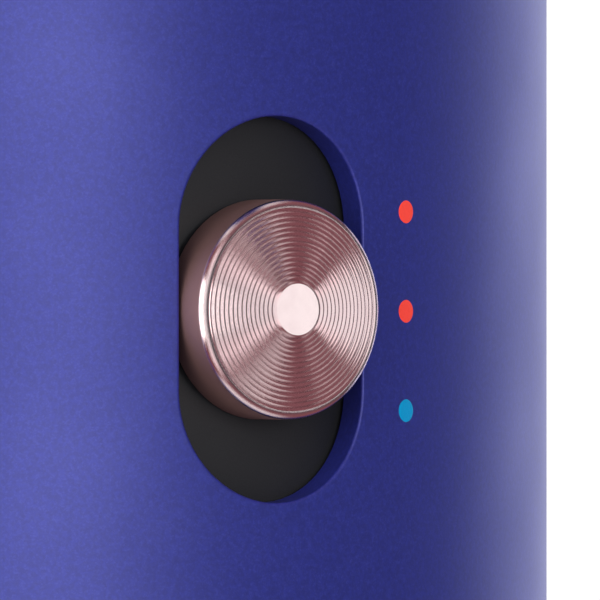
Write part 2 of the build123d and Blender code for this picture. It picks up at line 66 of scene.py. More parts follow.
HANDLE_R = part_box("handle_sleeve")[1].x
SLEEVE_WALL = 1.0 * MM
SLEEVE_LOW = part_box("handle_sleeve")[0].z
SLEEVE_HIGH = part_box("handle_sleeve")[1].z
HEAT_Z = middle("heat_knob").z
AIRFLOW_REST_Z = middle("airflow_knob").z
AIRFLOW_Z = AIRFLOW_REST_Z + joints["airflow_slide"]["range_m"][1] / 2
DIAL_Z = middle("voltage_dial").z
PIVOT = Vector(joints["barrel_fold"]["pos_m"])
BARREL_Z = joints["fan_spin"]["pos_m"][2]

# The handle's tube: its slots, its selector hole, the rounding of their edges and the gap at each end.
SLOT_HALF_WIDTH = 3.56 * MM
SLOT_HALF_LENGTH = 6.15 * MM
DIAL_HOLE_R = 6.2 * MM
LIP = 0.10 * MM
TUBE_END_GAP = 0.15 * MM

# The slider caps, with their rim and back counted from the handle's axis.
KNOB_R = 3.5 * MM
KNOB_RIM = 21.82 * MM
KNOB_BACK = 19.95 * MM
KNOB_CROWN = 0.31 * MM
KNOB_PIP_R = 0.85 * MM
KNOB_PIP_STEP = 0.02 * MM
KNOB_RINGS = 15
KNOB_RIM_WIDTH = 0.27 * MM
KNOB_EDGE_R = 0.26 * MM
KNOB_GROOVE = 0.052 * MM
KNOB_SIDE_R = KNOB_R - 0.002 * MM

# Printed marks and figures.
MARK_R = 0.375 * MM
MARK_PITCH = 3.18 * MM
MARK_ANGLE = 15.5
MARK_DROP = 0.06 * MM
MARK_HEIGHT = 0.018 * MM
PAINT_SINK = 0.004 * MM
FIGURE_SIZE = 2.7 * MM
FIGURE_HEIGHT = 0.02 * MM
FIGURES_ASIDE = -9.6 * MM
FIGURES_BELOW = -8.9 * MM

TRIM_RING_BORE_R = 18.1 * MM
BIG_RING_LATHE_PITCH = 0.12 * MM


# ---- Materials ----------------------------------------------------------------------------------
class NodeMaker:
    """Short calls that add nodes to a tree and join them."""

    def __init__(self, tree):
        self.tree = tree

    def add(self, kind, inputs=(), **settings):
        """A new node, with its settings and its inputs, given as values or as sockets to join."""
        node = self.tree.nodes.new(kind)
        for key, value in settings.items():
            setattr(node, key, value)
        for key, value in dict(inputs).items():
            self.feed(node.inputs[key], value)
        return node

    def feed(self, socket, value):
        if isinstance(value, bpy.types.NodeSocket):
            self.join(value, socket)
        else:
            socket.default_value = value

    def join(self, output, socket):
        self.tree.links.new(output, socket)

    def maths(self, operation, first, second=0.0):
        return self.add("ShaderNodeMath", {0: first, 1: second}, operation=operation).outputs[0]


class Finish(NodeMaker):
    """A node material and the maker's steps that refine it."""

    def __init__(self, name, colour, roughness, metallic=0.0, centre=(0, 0, 0)):
        self.material = bpy.data.materials.new(name)
        self.material.use_nodes = True
        super().__init__(self.material.node_tree)
        self.shader = self.tree.nodes["Principled BSDF"]
        self.set("Base Color", (*colour, 1.0))
        self.set("Roughness", roughness)
        self.set("Metallic", metallic)
        coordinates = self.add("ShaderNodeTexCoord").outputs["Object"]
        shift = {"Vector": coordinates, "Location": [-c for c in centre]}
        self.where = self.add("ShaderNodeMapping", shift).outputs["Vector"]

    def set(self, socket, value):
        self.shader.inputs[socket].default_value = value

    def noise(self, size, detail=2.0, stretch=None):
        """Smooth noise whose blotches are about this size, in metres."""
        where = self.where
        if stretch:
            squeeze = {"Vector": where, "Scale": [1.0 / s for s in stretch]}
            where = self.add("ShaderNodeMapping", squeeze).outputs["Vector"]
        inputs = {"Vector": where, "Scale": 1.0 / size, "Detail": detail}
        return self.add("ShaderNodeTexNoise", inputs).outputs["Fac"]

    def flakes(self, size):
        """A random value for each small cell, as in flake paint."""
        cells = self.add("ShaderNodeTexVoronoi", {"Vector": self.where, "Scale": 1.0 / size})
        return self.add("ShaderNodeSeparateColor", {0: cells.outputs["Color"]}).outputs[0]

    def between(self, value, low, high, start=0.0, end=1.0):
        """The value, remapped from low..high to start..end."""
        inputs = {"Value": value, "From Min": low, "From Max": high, "To Min": start, "To Max": end}
        return self.add("ShaderNodeMapRange", inputs).outputs["Result"]

    def tint(self, value, colour):
        """Blends the base colour towards another where the value is high."""
        source = self.shader.inputs["Base Color"]
        before = source.links[0].from_socket if source.is_linked else tuple(source.default_value)
        mix = self.add("ShaderNodeMix", {"Factor": value, 6: before, 7: (*colour, 1.0)}, data_type="RGBA")
        self.join(mix.outputs[2], source)

    def roughen(self, value, low, high):
        self.join(self.between(value, 0.3, 0.7, low, high), self.shader.inputs["Roughness"])

    def bump(self, value, depth):
        """Raises the surface by the value times a depth in metres."""
        node = self.add("ShaderNodeBump", {"Height": value, "Distance": depth})
        normal = self.shader.inputs["Normal"]
        if normal.is_linked:
            self.join(normal.links[0].from_socket, node.inputs["Normal"])
        self.join(node.outputs["Normal"], normal)

    def radius(self, axis):
        """How far a point is from an axis through the pattern's centre."""
        split = self.add("ShaderNodeSeparateXYZ", {0: self.where})
        squares = [self.maths("MULTIPLY", split.outputs[i], split.outputs[i]) for i in range(3) if i != axis]
        return self.maths("SQRT", self.maths("ADD", *squares))

    def lathe_marks(self, pitch, axis):
        """A ripple in circles round an axis, on faces across it and along it."""
        split = self.add("ShaderNodeSeparateXYZ", {0: self.where})
        feed = self.maths("ADD", self.radius(axis), split.outputs[axis])
        return self.maths("SINE", self.maths("MULTIPLY", feed, 2 * pi / pitch))


def satin_indigo(name, grain=1.0):
    """Fine metallic paint: blue grains in soft clouds under a satin top coat."""
    paint = Finish(name, (0.020, 0.028, 0.278), 0.42, metallic=0.35)
    paint.set("Specular IOR Level", 0.80)
    paint.tint(paint.between(paint.flakes(0.05 * MM * grain), 0.55, 1.0, 0.0, 0.25), (0.060, 0.070, 0.40))
    paint.tint(paint.between(paint.flakes(0.08 * MM * grain), 0.7, 1.0, 0.0, 0.25), (0.014, 0.016, 0.18))
    clouds = paint.noise(0.17 * MM * grain, detail=1.0)
    paint.tint(paint.between(clouds, 0.35, 0.65, 0.0, 0.42), (0.014, 0.018, 0.17))
    paint.roughen(paint.noise(6 * MM), 0.40, 0.45)
    paint.bump(clouds, 0.0022 * MM * grain)
    paint.bump(paint.noise(0.06 * MM * grain, detail=1.0), 0.0008 * MM * grain)
    return paint.material


def turned_rose(name, centre, axis=1, pitch=0.033 * MM, side=None):
    """Rose anodised aluminium with a lathe's fine marks round an axis, and satin past the side radius, where
    painted shade tints it a darker rose.
    """
    metal = Finish(name, (0.82, 0.66, 0.67), 0.16, metallic=1.0, centre=centre)
    metal.tint(metal.between(metal.noise(0.5 * MM), 0.35, 0.75, 0.0, 0.3), (0.70, 0.53, 0.545))
    marks = metal.lathe_marks(pitch, axis)
    if side:
        face = side - 0.008 * MM
        satin = metal.between(metal.radius(axis), face, side, 0.17, 0.62)
        metal.join(satin, metal.shader.inputs["Roughness"])
        # Painted shade: the cap's side, past the side radius, is tinted a darker rose.
        metal.tint(metal.between(metal.radius(axis), face, side), (0.48, 0.30, 0.27))
        past_pip = metal.between(metal.radius(axis), KNOB_PIP_R, KNOB_PIP_R + 0.03 * MM)
        marks = metal.maths("MULTIPLY", marks, past_pip)
    else:
        metal.roughen(metal.noise(0.25 * MM), 0.20, 0.30)
    metal.bump(marks, 0.018 * pitch)
    return metal.material


def moulded_black(name, colour=(0.012, 0.0125, 0.015), grain=0.08 * MM, roughness=0.48):
    """Black plastic with a fine spark-eroded grain."""
    plastic = Finish(name, colour, roughness)
    plastic.set("Specular IOR Level", 0.45)
    plastic.tint(plastic.between(plastic.noise(grain), 0.35, 0.75, 0.0, 0.5), [c * 1.8 for c in colour])
    plastic.roughen(plastic.noise(4 * MM), roughness - 0.05, roughness + 0.07)
    plastic.bump(plastic.noise(grain, detail=1.0), 0.05 * grain)
    return plastic.material


def soft_rubber(name, colour=(0.022, 0.022, 0.024)):
    rubber = Finish(name, colour, 0.72)
    rubber.tint(rubber.between(rubber.noise(0.5 * MM), 0.4, 0.8, 0.0, 0.6), [c * 2.2 for c in colour])
    rubber.bump(rubber.noise(0.15 * MM), 0.006 * MM)
    return rubber.material


def moulded(name, colour, roughness=0.45):
    """Coloured plastic with slight flow marks."""
    plastic = Finish(name, colour, roughness)
    plastic.tint(plastic.between(plastic.noise(2 * MM), 0.3, 0.8, 0.0, 0.4), [c * 0.75 for c in colour])
    plastic.roughen(plastic.noise(1.5 * MM), roughness - 0.06, roughness + 0.08)
    plastic.bump(plastic.noise(0.3 * MM), 0.003 * MM)
    return plastic.material


def plain_metal(name, colour, roughness, stretch=(1, 12, 1)):
    """Metal with drawn or ground marks along one direction."""
    metal = Finish(name, colour, roughness, metallic=1.0)
    marks = metal.noise(0.12 * MM, detail=3.0, stretch=stretch)
    metal.tint(metal.between(marks, 0.3, 0.8, 0.0, 0.5), [c * 0.7 for c in colour])
    metal.roughen(marks, roughness - 0.06, roughness + 0.1)
    metal.bump(marks, 0.002 * MM)
    return metal.material


def sintered(name, colour, spots):
    """A dull pressed and fired body, or sheet mica, with small lighter specks."""
    body = Finish(name, colour, 0.62)
    body.tint(body.between(body.flakes(0.4 * MM), 0.72, 1.0, 0.0, 0.6), spots)
    body.tint(body.between(body.noise(3 * MM, detail=4.0), 0.4, 0.7, 0.0, 0.35), [c * 0.6 for c in colour])
    body.bump(body.noise(0.2 * MM), 0.01 * MM)
    return body.material


def solder_resist(name):
    """Green lacquer over copper tracks."""
    board = Finish(name, (0.015, 0.115, 0.045), 0.35)
    tracks = board.add("ShaderNodeTexBrick", {"Vector": board.where, "Scale": 1.0 / (9 * MM)}).outputs["Fac"]
    board.tint(board.between(tracks, 0.4, 0.6, 0.0, 0.7), (0.03, 0.20, 0.075))
    board.tint(board.between(board.noise(1.2 * MM), 0.55, 0.65, 0.0, 0.4), (0.01, 0.08, 0.03))
    board.bump(tracks, 0.03 * MM)
    return board.material


def gloss_paint(name, colour):
    """A thick drop of printed paint."""
    paint = Finish(name, colour, 0.5)
    paint.set("Specular IOR Level", 0.08)
    paint.tint(paint.between(paint.noise(0.1 * MM), 0.35, 0.75, 0.0, 0.3), [c * 0.85 for c in colour])
    paint.bump(paint.noise(0.12 * MM), 0.003 * MM)
    return paint.material


# ---- Shapes -------------------------------------------------------------------------------------
def piece(name, verts, faces, material, body, replaces=(), sharp=30):
    """A finished piece from points and faces, with faces turned outwards and edges kept crisp."""
    mesh = bpy.data.meshes.new(name)
    mesh.from_pydata(verts, [], faces)
    return finish_mesh(name, mesh, material, body, replaces, sharp)


def settle(mesh):
    """Merges points that coincide and turns every face outwards."""
    shape = bmesh.new()
    shape.from_mesh(mesh)
    bmesh.ops.remove_doubles(shape, verts=shape.verts, dist=1e-7)
    bmesh.ops.recalc_face_normals(shape, faces=shape.faces)
    shape.to_mesh(mesh)
    shape.free()


def finish_mesh(name, mesh, material, body, replaces=(), sharp=30):
    """A finished piece from a mesh: cleaned, shaded smooth between crisp edges, and riding on its body."""
    settle(mesh)
    mesh.polygons.foreach_set("use_smooth", [True] * len(mesh.polygons))
    mesh.set_sharp_from_angle(angle=radians(sharp))
    mesh.materials.clear()
    mesh.materials.append(material)
    thing = bpy.data.objects.new(name, mesh)
    bpy.context.scene.collection.objects.link(thing)
    if replaces:
        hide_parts(*replaces)
    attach(thing, body)
    return thing


class Pattern(NodeMaker):
    """A geometry node tree with named size inputs, run once on a mesh to give a plain mesh."""

    def __init__(self, name, **sizes):
        super().__init__(bpy.data.node_groups.new(name, "GeometryNodeTree"))
        face = self.tree.interface
        face.new_socket("Geometry", in_out="INPUT", socket_type="NodeSocketGeometry")
        self.identifiers = {}
        for key, value in sizes.items():
            kind = "NodeSocketInt" if isinstance(value, int) else "NodeSocketFloat"
            self.identifiers[face.new_socket(key, in_out="INPUT", socket_type=kind).identifier] = value
        face.new_socket("Geometry", in_out="OUTPUT", socket_type="NodeSocketGeometry")
        self.given = self.tree.nodes.new("NodeGroupInput").outputs

    def xyz(self, x=0.0, y=0.0, z=0.0):
        return self.add("ShaderNodeCombineXYZ", {0: x, 1: y, 2: z}).outputs[0]

    def vectors(self, operation, inputs):
        return self.add("ShaderNodeVectorMath", inputs, operation=operation).outputs[0]

    def bake(self, geometry, base, material):
        """The finished plain mesh of this tree's geometry, made from the base mesh."""
        whole = self.add("GeometryNodeRealizeInstances", {0: geometry}).outputs[0]
        painted = self.add("GeometryNodeSetMaterial", {"Geometry": whole, "Material": material}).outputs[0]
        self.join(painted, self.tree.nodes.new("NodeGroupOutput").inputs[0])
        maker = bpy.data.objects.new("maker", base)
        bpy.context.scene.collection.objects.link(maker)
        modifier = maker.modifiers.new("pattern", "NODES")
        modifier.node_group = self.tree
        for identifier, value in self.identifiers.items():
            modifier[identifier] = value
        depsgraph = bpy.context.evaluated_depsgraph_get()
        mesh = bpy.data.meshes.new_from_object(maker.evaluated_get(depsgraph), depsgraph=depsgraph)
        maker.modifiers.remove(modifier)
        bpy.data.objects.remove(maker)
        return mesh


def turned_points(profile, origin, axis, across, steps):
    """Points and faces of a profile of (radius, height) pairs, closed, turned round an axis."""
    origin, axis, across = Vector(origin), Vector(axis).normalized(), Vector(across).normalized()
    other = axis.cross(across)
    verts, rings = [], []
    for radius, height in profile:
        if radius < 1e-9:
            rings.append([len(verts)] * steps)
            verts.append(origin + axis * height)
            continue
        ring = []
        for i in range(steps):
            turn = 2 * pi * i / steps
            ring.append(len(verts))
            verts.append(origin + axis * height + radius * (cos(turn) * across + sin(turn) * other))
        rings.append(ring)
    faces = []
    for ring, following in zip(rings, rings[1:] + rings[:1]):
        for i in range(steps):
            j = (i + 1) % steps
            corners = [ring[i], ring[j], following[j], following[i]]
            unique = [c for k, c in enumerate(corners) if c not in corners[:k]]
            if len(unique) > 2:
                faces.append(unique)
    return verts, faces


def rounded(corners, closed=True, steps=5):
    """A profile whose corners, (radius, height, fillet) triples, are rounded by arcs."""
    points = []
    count = len(corners)
    for i, (x, y, fillet) in enumerate(corners):
        here = Vector((x, y))
        if fillet <= 0 or (not closed and i in (0, count - 1)):
            points.append((x, y))
            continue
        before = (Vector(corners[i - 1][:2]) - here).normalized()
        after = (Vector(corners[(i + 1) % count][:2]) - here).normalized()
        half = before.angle(after) / 2
        reach = fillet / tan(half)
        centre = here + (before + after).normalized() * (fillet / sin(half))
        start, end = here + before * reach - centre, here + after * reach - centre
        sweep = start.angle_signed(end)
        for k in range(steps + 1):
            turned = start.copy()
            turned.rotate(Matrix.Rotation(-sweep * k / steps, 2))
            points.append(tuple(centre + turned))
    return points


def turned(name, profile, origin, axis, material, body, slot, replaces=(), steps=192, across=(1, 0, 0)):
    """A piece turned on a lathe from its profile."""
    verts, faces = turned_points(profile, origin, axis, across, steps)
    return piece(name, verts, faces, material, body, replaces)


def grid_tube(outer, inner, low, high, holes, lip):
    """Points and faces of a tube round Z with stadium holes cut straight through along Y.

    A hole is (side, centre height, half width, half length), where side is -1 or +1 along Y. The holes' outer
    edges are rounded by the lip's radius.
    """
    columns = 288
    turn = 2 * pi / columns
    cell = outer * turn
    margin = 1.9 * MM
    patches = []
    heights = {round(low, 9), round(high, 9)}
    for side, z, half_width, half_length in holes:
        reach = round(asin(min(1, (half_width + margin) / outer)) / turn)
        rows = 2 * round((half_length + margin) / cell)
        levels = [z + (half_length + margin) * (2 * k / rows - 1) for k in range(rows + 1)]
        heights.update(round(level, 9) for level in levels)
        patches.append((side, z, half_width, half_length, reach, round(levels[0], 9), round(levels[-1], 9)))
    heights = sorted(heights)
    verts, faces = [], []

    def point(x, z, radius, side):
        verts.append((x, side * sqrt(radius**2 - x**2), z))
        return len(verts) - 1

    def home_column(patch):
        return 0 if patch[0] < 0 else columns // 2

    def boundary(patch, grid):
        """The grid's corner numbers round a patch, in order."""
        reach, bottom, top = patch[4:]
        left, right = home_column(patch) - reach, home_column(patch) + reach
        first, last = heights.index(bottom), heights.index(top)
        walk = [(first, c) for c in range(left, right)] + [(r, right) for r in range(first, last)]
        walk += [(last, c) for c in range(right, left, -1)] + [(r, left) for r in range(last, first, -1)]
        return [grid[r][c % columns] for r, c in walk]

    def inside(patch, row, column):
        reach, bottom, top = patch[4:]
        offset = (column - home_column(patch) + columns // 2) % columns - columns // 2
        return bottom <= heights[row] < top and -reach <= offset < reach

    def skin(radius, flip):
        """One wall of the tube, left open where the patches are."""
        grid = []
        for height in heights:
            ring = []
            for c in range(columns):
                verts.append((radius * sin(c * turn), -radius * cos(c * turn), height))
                ring.append(len(verts) - 1)
            grid.append(ring)
        for r in range(len(heights) - 1):
            for c in range(columns):
                if any(inside(patch, r, c) for patch in patches):
                    continue
                d = (c + 1) % columns
                face = [grid[r][c], grid[r][d], grid[r + 1][d], grid[r + 1][c]]
                faces.append(face[::-1] if flip else face)
        return grid

    def bridge(one, two):
        for i in range(len(one)):
            j = (i + 1) % len(one)
            faces.append([one[i], one[j], two[j], two[i]])

    def narrowed(patch, loop, share, offset, radius):
        """The loop drawn in towards the hole: share 1 stays put, and 0 is the hole's edge plus the offset."""
        side, z, half_width, half_length = patch[:4]
        straight = half_length - half_width
        ring = []
        for index in loop:
            x, height = verts[index][0], verts[index][2] - z
            spine = Vector((0, max(-straight, min(straight, height))))
            away = Vector((x, height)) - spine
            reach = half_width + offset + (away.length - half_width - offset) * share
            place = spine + away.normalized() * reach
            ring.append(point(place.x, place.y + z, radius, side))
        return ring

    outer_grid = skin(outer, False)
    inner_grid = skin(inner, True)
    arcs = 5
    for patch in patches:
        rings = [boundary(patch, outer_grid)]
        for share in (0.6, 0.3, 0.1):
            rings.append(narrowed(patch, rings[0], share, lip, outer))
        rings.append(narrowed(patch, rings[0], 0, lip * 1.4, outer))
        for k in range(arcs + 1):
            angle = pi / 2 * k / arcs
            rings.append(narrowed(patch, rings[0], 0, lip * (1 - sin(angle)), outer - lip * (1 - cos(angle))))
        for share in (0.15, 0.5, 1.0):
            rings.append(narrowed(patch, rings[0], 0, 0, outer - lip - (outer - lip - inner) * share))
        inner_loop = boundary(patch, inner_grid)
        for one, two in zip(rings, rings[1:]):
            bridge(one, two)
        bridge(rings[-1], inner_loop)
    bevel = 0.12 * MM
    for row, sign in ((0, 1), (-1, -1)):
        outer_ring, inner_ring = outer_grid[row], inner_grid[row]
        rings = [outer_ring]
        for k in range(1, arcs + 1):
            angle = pi / 2 * k / arcs
            radius = outer - bevel * (1 - cos(angle))
            ring = []
            for index in outer_ring:
                x, y, z = verts[index]
                scale = radius / outer
                ring.append(len(verts))
                verts.append((x * scale, y * scale, z - sign * bevel * sin(angle)))
            rings.append(ring)
        for one, two in zip(rings, rings[1:]):
            bridge(one, two)
        bridge(rings[-1], inner_ring)
    return verts, faces


# ---- Handle -------------------------------------------------------------------------------------
HANDLE_PAINT = satin_indigo("handle_paint")
HEAT_ROSE = turned_rose("heat_cap_metal", (0, 0, HEAT_Z), side=KNOB_SIDE_R)
AIRFLOW_ROSE = turned_rose("airflow_cap_metal", (0, 0, AIRFLOW_REST_Z), side=KNOB_SIDE_R)


def handle_sleeve():
    """The handle's painted tube, with a slot for each slider and a round hole for the selector."""
    holes = [
        (-1, HEAT_Z, SLOT_HALF_WIDTH, SLOT_HALF_LENGTH),
        (-1, AIRFLOW_Z, SLOT_HALF_WIDTH, SLOT_HALF_LENGTH),
        (1, DIAL_Z, DIAL_HOLE_R, DIAL_HOLE_R),
    ]
    low, high = SLEEVE_LOW + TUBE_END_GAP, SLEEVE_HIGH - TUBE_END_GAP
    verts, faces = grid_tube(HANDLE_R, HANDLE_R - SLEEVE_WALL, low, high, holes, LIP)
    piece("handle_tube", verts, faces, HANDLE_PAINT, "handle",
          ["handle_sleeve"], sharp=40)


def cap_profile():
    """The turned cap's outline as (radius, distance out from the handle's axis)."""
    inner = KNOB_R - KNOB_RIM_WIDTH
    step = (inner - KNOB_PIP_R) / KNOB_RINGS
    chamfer = 0.05 * MM
    arcs = 8

    def crown(radius):
        return KNOB_RIM + KNOB_CROWN * (1 - (radius / KNOB_R) ** 2)

    outline = [(0, KNOB_BACK), (KNOB_R - chamfer, KNOB_BACK), (KNOB_R, KNOB_BACK + chamfer)]
    for k in range(arcs + 1):
        angle = pi / 2 * k / arcs
        outline.append((KNOB_R - KNOB_EDGE_R * (1 - cos(angle)), KNOB_RIM - KNOB_EDGE_R * (1 - sin(angle))))
    outline.append((inner, crown(inner)))
    for ring in range(KNOB_RINGS):
        outer = inner - ring * step
        outline.append((outer - 0.5 * step, crown(outer - 0.5 * step) - KNOB_GROOVE))
        outline.append((outer - step, crown(outer - step)))
    pip_face = crown(KNOB_PIP_R) + KNOB_PIP_STEP
    return outline + [(KNOB_PIP_R - 0.03 * MM, pip_face), (0, pip_face)]


def slider_caps():
    """The two turned caps, each on its own slider."""
    for name, z, metal in (("heat", HEAT_Z, HEAT_ROSE), ("airflow", AIRFLOW_REST_Z, AIRFLOW_ROSE)):
        turned(name + "_cap", cap_profile(), (0, 0, z), (0, -1, 0), metal, name + "_slider", "rose_aluminium",
               [name + "_knob"], steps=240)


def setting_marks():
    """Printed spots beside each slot: two red and a blue for the heat, and three white for the airflow."""
    red = gloss_paint("mark_red", (0.84, 0.058, 0.040))
    blue = gloss_paint("mark_blue", (0.0, 0.245, 0.49))
    white = gloss_paint("mark_white", (0.72, 0.72, 0.74))
    groups = (("heat", HEAT_Z, (red, red, blue)), ("airflow", AIRFLOW_Z, (white, white, white)))
    for group, z, colours in groups:
        for k, paint in enumerate(colours):
            centre = z - MARK_DROP + (1 - k) * MARK_PITCH
            verts, faces = printed_spot(MARK_ANGLE, centre, MARK_R, MARK_HEIGHT)
            piece(f"{group}_mark_{k + 1}", verts, faces, paint, "handle")


def printed_spot(angle, z, radius, height):
    """A shallow drop of paint on the handle, wrapped round it."""
    rings, steps = 6, 48
    middle_turn = radians(angle)
    verts = [on_handle(middle_turn, z, height)]
    faces = []
    for ring in range(1, rings + 1):
        share = ring / rings
        rise = height * (1 - share**6) if ring < rings else -PAINT_SINK
        for i in range(steps):
            turn = 2 * pi * i / steps
            across = middle_turn + radius * share * cos(turn) / HANDLE_R
            verts.append(on_handle(across, z + radius * share * sin(turn), rise))
    for i in range(steps):
        j = (i + 1) % steps
        faces.append([0, 1 + i, 1 + j])
        for ring in range(rings - 1):
            a, b = 1 + ring * steps, 1 + (ring + 1) * steps
            faces.append([a + i, b + i, b + j, a + j])
    faces.append([1 + (rings - 1) * steps + i for i in range(steps)][::-1])
    return verts, faces


def on_handle(turn, z, rise):
    """A point on the handle, or this far above it, turned round from the side with the sliders."""
    radius = HANDLE_R + rise
    return (radius * sin(turn), -radius * cos(turn), z)


def trim_ring():
    """The rose ring between the tube and the hinge, with softly rolled edges."""
    low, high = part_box("handle_trim_ring")
    outline = rounded([
        (TRIM_RING_BORE_R, low.z, 0),
        (HANDLE_R, low.z, 0.25 * MM),
        (HANDLE_R, high.z, 0.45 * MM),
        (TRIM_RING_BORE_R, high.z, 0),
    ])
    metal = turned_rose("trim_ring_metal", (0, 0, 0), axis=2, pitch=BIG_RING_LATHE_PITCH)
    turned("trim_ring", outline, (0, 0, 0), (0, 0, 1), metal, "handle", "rose_aluminium",
           ["handle_trim_ring"])


def voltage_numbers():
    """The two supply voltages beside the selector, and the pointer on its face."""
    white = gloss_paint("number_white", (0.72, 0.72, 0.74))
    for text, along, up in (("120", FIGURES_ASIDE, 0), ("240", 0, FIGURES_BELOW)):
        flat = text_mesh(text, FIGURE_SIZE, FIGURE_HEIGHT)
        for vertex in flat.vertices:
            x, y, rise = vertex.co
            vertex.co = on_handle(pi + (x + along) / HANDLE_R, DIAL_Z + up + y, rise - PAINT_SINK)
        finish_mesh("number_" + text, flat, white, "handle")
    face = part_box("voltage_dial")[1].y
    tip, tail, half = 5.55, 4.75, 0.55
    outline = [(tip, 0.0), (tail, half), (tail, -half)]
    low, high = face - 0.01 * MM, face + 0.03 * MM
    verts = [(x * MM, y, DIAL_Z + z * MM) for y in (low, high) for x, z in outline]
    faces = [(0, 1, 2), (3, 4, 5), (0, 1, 4, 3), (1, 2, 5, 4), (2, 0, 3, 5)]
    piece("dial_pointer", verts, faces, white, "selector")


def text_mesh(text, height, thickness):
    """Flat raised figures, centred on the origin, as a mesh."""
    curve = bpy.data.curves.new(text, "FONT")
    curve.body = text
    curve.size = 1.0
    curve.align_x = "CENTER"
    curve.align_y = "CENTER"
    curve.resolution_u = 4
    curve.extrude = 0.5 * thickness / height
    thing = bpy.data.objects.new(text, curve)
    bpy.context.scene.collection.objects.link(thing)
    depsgraph = bpy.context.evaluated_depsgraph_get()
    mesh = bpy.data.meshes.new_from_object(thing.evaluated_get(depsgraph), depsgraph=depsgraph)
    bpy.data.objects.remove(thing)
    mesh.transform(Matrix.Scale(height, 4))
    mesh.transform(Matrix.Translation((0, 0, 0.5 * thickness)))
    return mesh


# ---- Nozzle -------------------------------------------------------------------------------------
NOZZLE_WALL = 1.4 * MM
NOZZLE_FIT_R = 27.15 * MM
NOZZLE_BACK_CHAMFERS = [(0, 29.1 * MM), (0.2 * MM, 29.3 * MM)]
# Places along the barrel's axis, each with the half width and the half height there.
NOZZLE_STATIONS = [(0.0542, 0.0294, 0.0294), (0.059, 0.0294, 0.0294), (0.067, 0.0292, 0.0246),
                   (0.077, 0.0287, 0.0154), (0.086, 0.0280, 0.0064)]
RUN_STEPS = 12


def flowing(stations, count):
    """Points on a smooth curve through the stations, with level ends where the run starts straight."""
    slopes = []
    for i in range(len(stations)):
        before, after = stations[max(i - 1, 0)], stations[min(i + 1, len(stations) - 1)]
        run = after[0] - before[0]
        slopes.append([(after[k] - before[k]) / run for k in (1, 2)])
    slopes[0] = [0.0, 0.0]
    points = []
    for i in range(len(stations) - 1):
        one, two = stations[i], stations[i + 1]
        run = two[0] - one[0]
        for step in range(count):
            t = step / count
            place = [one[0] + run * t]
            for k in (0, 1):
                a, b = one[k + 1], two[k + 1]
                bend = (2 * t**3 - 3 * t**2 + 1) * a + (3 * t**2 - 2 * t**3) * b
                bend += (t**3 - 2 * t**2 + t) * run * slopes[i][k] + (t**3 - t**2) * run * slopes[i + 1][k]
                place.append(bend)
            points.append(place)
    points.append(list(stations[-1]))
    return points


def nozzle():
    """The concentrator: round at the back and drawn out to a wide flat mouth with a rolled lip."""
    outside = flowing(NOZZLE_STATIONS, RUN_STEPS)
    back, seat, mouth = (NOZZLE_STATIONS[i][0] for i in (0, 1, -1))
    wall = NOZZLE_WALL
    roll = wall / 2
    rings = [[back, NOZZLE_FIT_R, NOZZLE_FIT_R]]
    rings += [[back + ahead, radius, radius] for ahead, radius in NOZZLE_BACK_CHAMFERS]
    rings += outside[2:-1]
    tip = outside[-1]
    arcs = 8
    for k in range(arcs + 1):
        angle = pi * k / arcs
        in_by = roll - roll * cos(angle)
        rings.append([mouth - roll + roll * sin(angle), tip[1] - in_by, tip[2] - in_by])
    rings += [[y, x - wall, z - wall] for y, x, z in reversed(outside[RUN_STEPS:-1])]
    rings.append([seat, NOZZLE_FIT_R, NOZZLE_FIT_R])
    steps = 192
    verts = [(x * cos(2 * pi * i / steps), y, BARREL_Z + z * sin(2 * pi * i / steps))
             for y, x, z in rings for i in range(steps)]
    faces = []
    for r in range(len(rings)):
        a, b = r * steps, (r + 1) % len(rings) * steps
        faces += [[a + i, a + (i + 1) % steps, b + (i + 1) % steps, b + i] for i in range(steps)]
    plastic = moulded_black("nozzle_plastic", grain=0.12 * MM, roughness=0.42)
    piece("nozzle_body", verts, faces, plastic, "nozzle", ["nozzle_shell"])


# ---- Rear filter --------------------------------------------------------------------------------
HOLE_R = 0.70 * MM
HOLE_RING_PITCH = 2.2 * MM
HOLE_RINGS = 11
DRILL_DEPTH = 5 * MM
DRILL_SIDES = 14
VENT_COUNT = 40
VENT_WIDTH = 1.8 * MM
VENT_LENGTH = 6.6 * MM
VENT_Y = -65.7 * MM
VENT_INNER_R = 25.5 * MM
VENT_OUTER_R = 31 * MM
CUP_WALL = 1.5 * MM
CUP_CORNER_R = 4.0 * MM
CUP_LIP = 0.7 * MM
SPIGOT_LENGTH = 2.8 * MM
SPIGOT_BORE_R = 25.2 * MM
SPIGOT_R = 26.4 * MM
WEAVE_PITCH = 0.9 * MM
WEAVE_WIRE_R = 0.16 * MM


def cage_blank():
    """The filter's cup before it is pierced, turned about the barrel's axis."""
    low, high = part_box("filter_cage")
    radius, rear, front, seat = high.x, low.y, high.y, high.y - SPIGOT_LENGTH
    outline = rounded([
        (0, rear, 0),
        (radius, rear, CUP_CORNER_R),
        (radius, seat, 0.3 * MM),
        (SPIGOT_BORE_R, seat, 0),
        (SPIGOT_BORE_R, front, 0.2 * MM),
        (SPIGOT_R, front, 0.2 * MM),
        (SPIGOT_R, seat - CUP_LIP, 0),
        (radius - CUP_WALL, seat - CUP_LIP, 0),
        (radius - CUP_WALL, rear + CUP_WALL, 2.6 * MM),
        (0, rear + CUP_WALL, 0),
    ])
    return turned_points(outline, (0, 0, BARREL_Z), (0, 1, 0), (1, 0, 0), 160)


